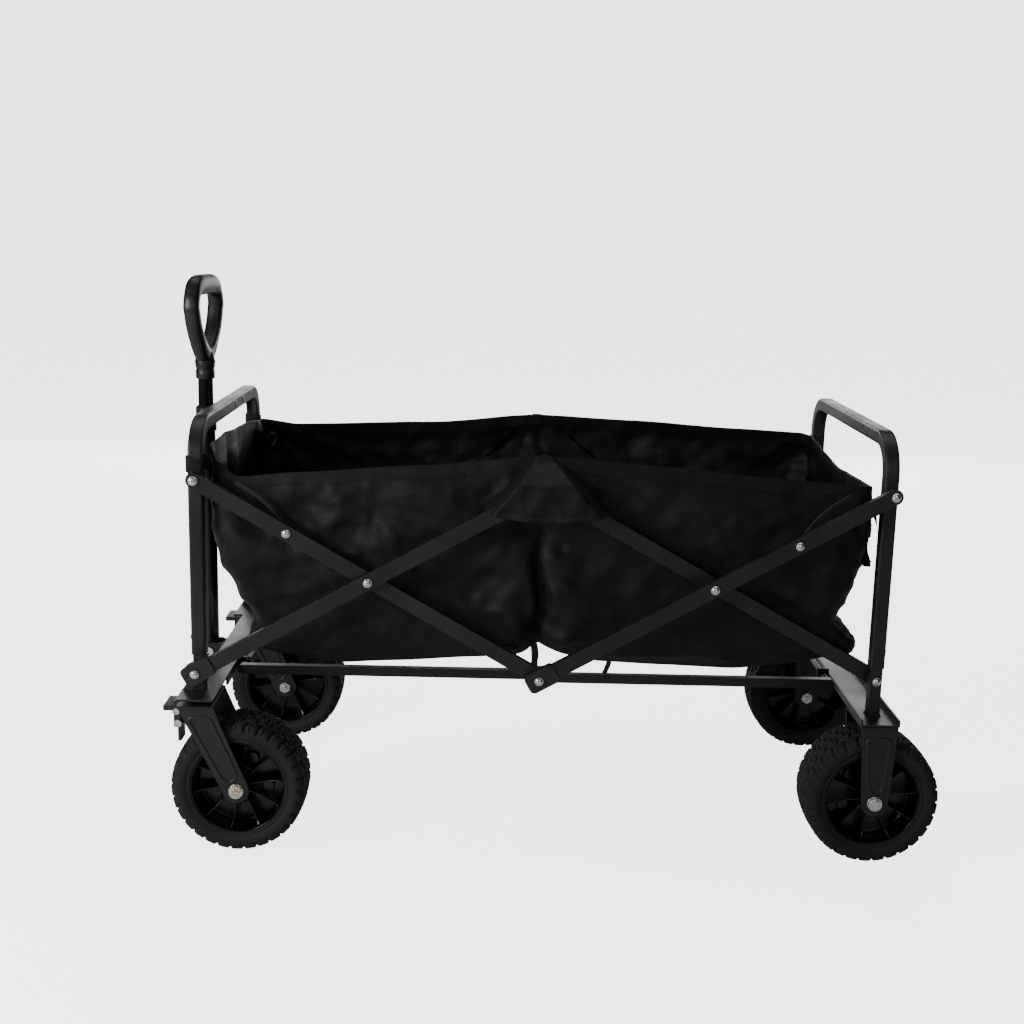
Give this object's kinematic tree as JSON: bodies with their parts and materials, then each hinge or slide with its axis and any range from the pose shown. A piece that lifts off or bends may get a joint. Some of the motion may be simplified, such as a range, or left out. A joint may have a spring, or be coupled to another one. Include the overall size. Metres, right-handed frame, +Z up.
{
  "type": "folding pull wagon",
  "caption": "Folding pull wagon: scissor-linked steel frame, open fabric basket, fat tyres, braked swivelling front wheels and a telescopic handle with a loop grip.",
  "frame": {"origin": "on the ground, under the centre of the wagon's outline", "axes": "+X to the rear (the handle is at -X), +Y to the wagon's right side, +Z up"},
  "size_m": [1.0337, 0.5236, 0.751],
  "materials": {
    "frame_paint": "satin black powder coat, slightly textured",
    "zinc": "zinc plated",
    "tyre": "charcoal rubber with block tread",
    "rim_plastic": "gloss black moulding",
    "black_plastic": "fine moulded grain",
    "basket_fabric": "woven black polyester with a soft sheen"
  },
  "bodies": {
    "front_base": {"front_beam": "frame_paint", "left_front_post": "frame_paint", "right_front_post": "frame_paint", "handle_bracket": "frame_paint", "handle_pin": "zinc", "basket": "basket_fabric"},
    "left_lower_front": {"left_lower_front_bar": "frame_paint", "left_front_bracket": "frame_paint", "left_front_cross_pin": "zinc", "left_top_pin": "zinc"},
    "left_upper_front": {"left_upper_front_bar": "frame_paint", "left_bottom_pin": "zinc"},
    "left_lower_rear": {"left_lower_rear_bar": "frame_paint", "left_rear_cross_pin": "zinc"},
    "left_upper_rear": {"left_upper_rear_bar": "frame_paint", "left_middle_bracket": "frame_paint"},
    "right_lower_front": {"right_lower_front_bar": "frame_paint", "right_front_bracket": "frame_paint", "right_front_cross_pin": "zinc", "right_top_pin": "zinc"},
    "right_upper_front": {"right_upper_front_bar": "frame_paint", "right_bottom_pin": "zinc"},
    "right_lower_rear": {"right_lower_rear_bar": "frame_paint", "right_rear_cross_pin": "zinc"},
    "right_upper_rear": {"right_upper_rear_bar": "frame_paint", "right_middle_bracket": "frame_paint"},
    "front_frame": {"front_frame": "frame_paint"},
    "rear_frame": {"rear_frame": "frame_paint"},
    "rear_base": {"rear_beam": "frame_paint", "left_rear_post": "frame_paint", "right_rear_post": "frame_paint", "left_rear_fork": "frame_paint", "right_rear_fork": "frame_paint", "left_rear_axle": "zinc", "right_rear_axle": "zinc"},
    "front_strut": {"base_strut_front": "frame_paint"},
    "rear_strut": {"base_strut_rear": "frame_paint"},
    "handle_tube": {"handle_outer_tube": "frame_paint", "handle_collar": "black_plastic"},
    "handle_slider": {"handle_inner_tube": "frame_paint", "handle_grip": "black_plastic"},
    "left_caster": {"left_caster_fork": "frame_paint", "left_kingpin": "zinc", "left_front_axle": "zinc"},
    "left_front_wheel": {"left_front_tyre": "tyre", "left_front_rim": "rim_plastic"},
    "left_brake": {"left_brake_pedal": "black_plastic"},
    "left_rear_wheel": {"left_rear_tyre": "tyre", "left_rear_rim": "rim_plastic"},
    "right_caster": {"right_caster_fork": "frame_paint", "right_kingpin": "zinc", "right_front_axle": "zinc"},
    "right_front_wheel": {"right_front_tyre": "tyre", "right_front_rim": "rim_plastic"},
    "right_brake": {"right_brake_pedal": "black_plastic"},
    "right_rear_wheel": {"right_rear_tyre": "tyre", "right_rear_rim": "rim_plastic"}
  },
  "joints": [
    {"name": "fold", "type": "hinge", "parent": "front_base", "child": "left_lower_front", "pos_m": [-0.47, -0.2335, 0.247], "axis": [0, -1, 0], "range_deg": [0, 45.55], "deforming": ["basket"]},
    {"name": "left_upper_front_turn", "type": "hinge", "parent": "left_lower_front", "child": "left_upper_front", "pos_m": [-0.246, -0.2335, 0.3735], "axis": [0, -1, 0], "range_deg": [-91.39, 0]},
    {"name": "front_frame_lift", "type": "hinge", "parent": "left_upper_front", "child": "front_frame", "pos_m": [-0.47, -0.2335, 0.5], "axis": [0, -1, 0], "range_deg": [0, 45.84]},
    {"name": "left_lower_rear_turn", "type": "hinge", "parent": "left_lower_front", "child": "left_lower_rear", "pos_m": [-0.022, -0.2335, 0.5], "axis": [0, -1, 0], "range_deg": [-91.39, 0]},
    {"name": "rear_base_carry", "type": "hinge", "parent": "left_lower_rear", "child": "rear_base", "pos_m": [0.426, -0.2335, 0.247], "axis": [0, -1, 0], "range_deg": [0, 45.84]},
    {"name": "left_upper_rear_turn", "type": "hinge", "parent": "left_lower_rear", "child": "left_upper_rear", "pos_m": [0.202, -0.2335, 0.3735], "axis": [0, -1, 0], "range_deg": [0, 91.39]},
    {"name": "rear_frame_lift", "type": "hinge", "parent": "left_upper_rear", "child": "rear_frame", "pos_m": [0.426, -0.2335, 0.5], "axis": [0, -1, 0], "range_deg": [-45.84, 0]},
    {"name": "right_lower_front_turn", "type": "hinge", "parent": "front_base", "child": "right_lower_front", "pos_m": [-0.47, 0.2335, 0.247], "axis": [0, -1, 0], "range_deg": [0, 45.84]},
    {"name": "right_upper_front_turn", "type": "hinge", "parent": "right_lower_front", "child": "right_upper_front", "pos_m": [-0.246, 0.2335, 0.3735], "axis": [0, -1, 0], "range_deg": [-91.39, 0]},
    {"name": "right_lower_rear_turn", "type": "hinge", "parent": "right_lower_front", "child": "right_lower_rear", "pos_m": [-0.022, 0.2335, 0.5], "axis": [0, -1, 0], "range_deg": [-91.39, 0]},
    {"name": "right_upper_rear_turn", "type": "hinge", "parent": "right_lower_rear", "child": "right_upper_rear", "pos_m": [0.202, 0.2335, 0.3735], "axis": [0, -1, 0], "range_deg": [0, 91.39]},
    {"name": "front_strut_turn", "type": "hinge", "parent": "front_base", "child": "front_strut", "pos_m": [-0.437, 0, 0.205], "axis": [0, -1, 0], "range_deg": [0, 76.33]},
    {"name": "rear_strut_turn", "type": "hinge", "parent": "rear_base", "child": "rear_strut", "pos_m": [0.393, 0, 0.205], "axis": [0, -1, 0], "range_deg": [-76.33, 0]},
    {"name": "handle_tilt", "type": "hinge", "parent": "front_base", "child": "handle_tube", "pos_m": [-0.5, 0, 0.205], "axis": [0, -1, 0], "range_deg": [0, 100]},
    {"name": "handle_slide", "type": "slide", "parent": "handle_tube", "child": "handle_slider", "axis": [0, 0, 1], "range_m": [0, 0.28]},
    {"name": "left_caster_swivel", "type": "hinge", "parent": "front_base", "child": "left_caster", "pos_m": [-0.47, -0.2125, 0.206], "axis": [0, 0, 1], "continuous": true},
    {"name": "left_front_wheel_spin", "type": "hinge", "parent": "left_caster", "child": "left_front_wheel", "pos_m": [-0.417, -0.2125, 0.09], "axis": [0, 1, 0], "continuous": true},
    {"name": "left_brake_press", "type": "hinge", "parent": "left_caster", "child": "left_brake", "pos_m": [-0.495, -0.2125, 0.176], "axis": [0, -1, 0], "range_deg": [0, 12]},
    {"name": "left_rear_wheel_spin", "type": "hinge", "parent": "rear_base", "child": "left_rear_wheel", "pos_m": [0.426, -0.2125, 0.09], "axis": [0, 1, 0], "continuous": true},
    {"name": "right_caster_swivel", "type": "hinge", "parent": "front_base", "child": "right_caster", "pos_m": [-0.47, 0.2125, 0.206], "axis": [0, 0, 1], "continuous": true},
    {"name": "right_front_wheel_spin", "type": "hinge", "parent": "right_caster", "child": "right_front_wheel", "pos_m": [-0.417, 0.2125, 0.09], "axis": [0, 1, 0], "continuous": true},
    {"name": "right_brake_press", "type": "hinge", "parent": "right_caster", "child": "right_brake", "pos_m": [-0.495, 0.2125, 0.176], "axis": [0, -1, 0], "range_deg": [0, 12]},
    {"name": "right_rear_wheel_spin", "type": "hinge", "parent": "rear_base", "child": "right_rear_wheel", "pos_m": [0.426, 0.2125, 0.09], "axis": [0, 1, 0], "continuous": true}
  ],
  "couplings": [
    {"joint": "left_upper_front_turn", "follows": "fold", "ratio": -2},
    {"joint": "front_frame_lift", "follows": "fold", "ratio": 1},
    {"joint": "left_lower_rear_turn", "follows": "fold", "ratio": -2},
    {"joint": "rear_base_carry", "follows": "fold", "ratio": 1},
    {"joint": "left_upper_rear_turn", "follows": "fold", "ratio": 2},
    {"joint": "rear_frame_lift", "follows": "fold", "ratio": -1},
    {"joint": "right_lower_front_turn", "follows": "fold", "ratio": 1},
    {"joint": "right_upper_front_turn", "follows": "fold", "ratio": -2},
    {"joint": "right_lower_rear_turn", "follows": "fold", "ratio": -2},
    {"joint": "right_upper_rear_turn", "follows": "fold", "ratio": 2},
    {"joint": "front_strut_turn", "follows": "fold", "ratio": 1.6694},
    {"joint": "rear_strut_turn", "follows": "fold", "ratio": -1.6694}
  ]
}
